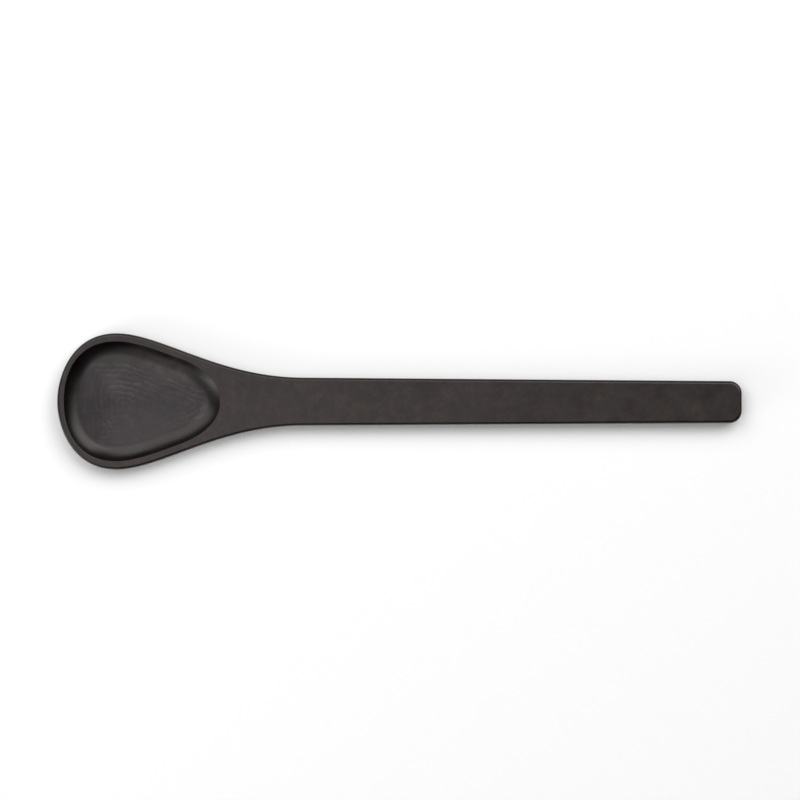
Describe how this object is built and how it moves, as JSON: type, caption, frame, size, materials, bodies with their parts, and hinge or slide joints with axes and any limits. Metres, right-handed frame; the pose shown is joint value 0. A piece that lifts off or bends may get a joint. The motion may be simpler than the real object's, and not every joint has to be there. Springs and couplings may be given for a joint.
{
  "type": "cooking spoon",
  "caption": "Cooking spoon cut in one piece from a slate-black laminate sheet, with a shallow milled pocket in a teardrop head and a flat, gently tapering handle.",
  "frame": {"origin": "centre of the spoon's flat back, under the middle of its length and width", "axes": "+X along the spoon from the tip of the head to the square end of the handle, +Y across it, +Z out of the face that holds the pocket"},
  "size_m": [0.336, 0.0668, 0.0095],
  "materials": {
    "laminate": "satin"
  },
  "bodies": {
    "root": {"spoon": "laminate"}
  },
  "joints": []
}
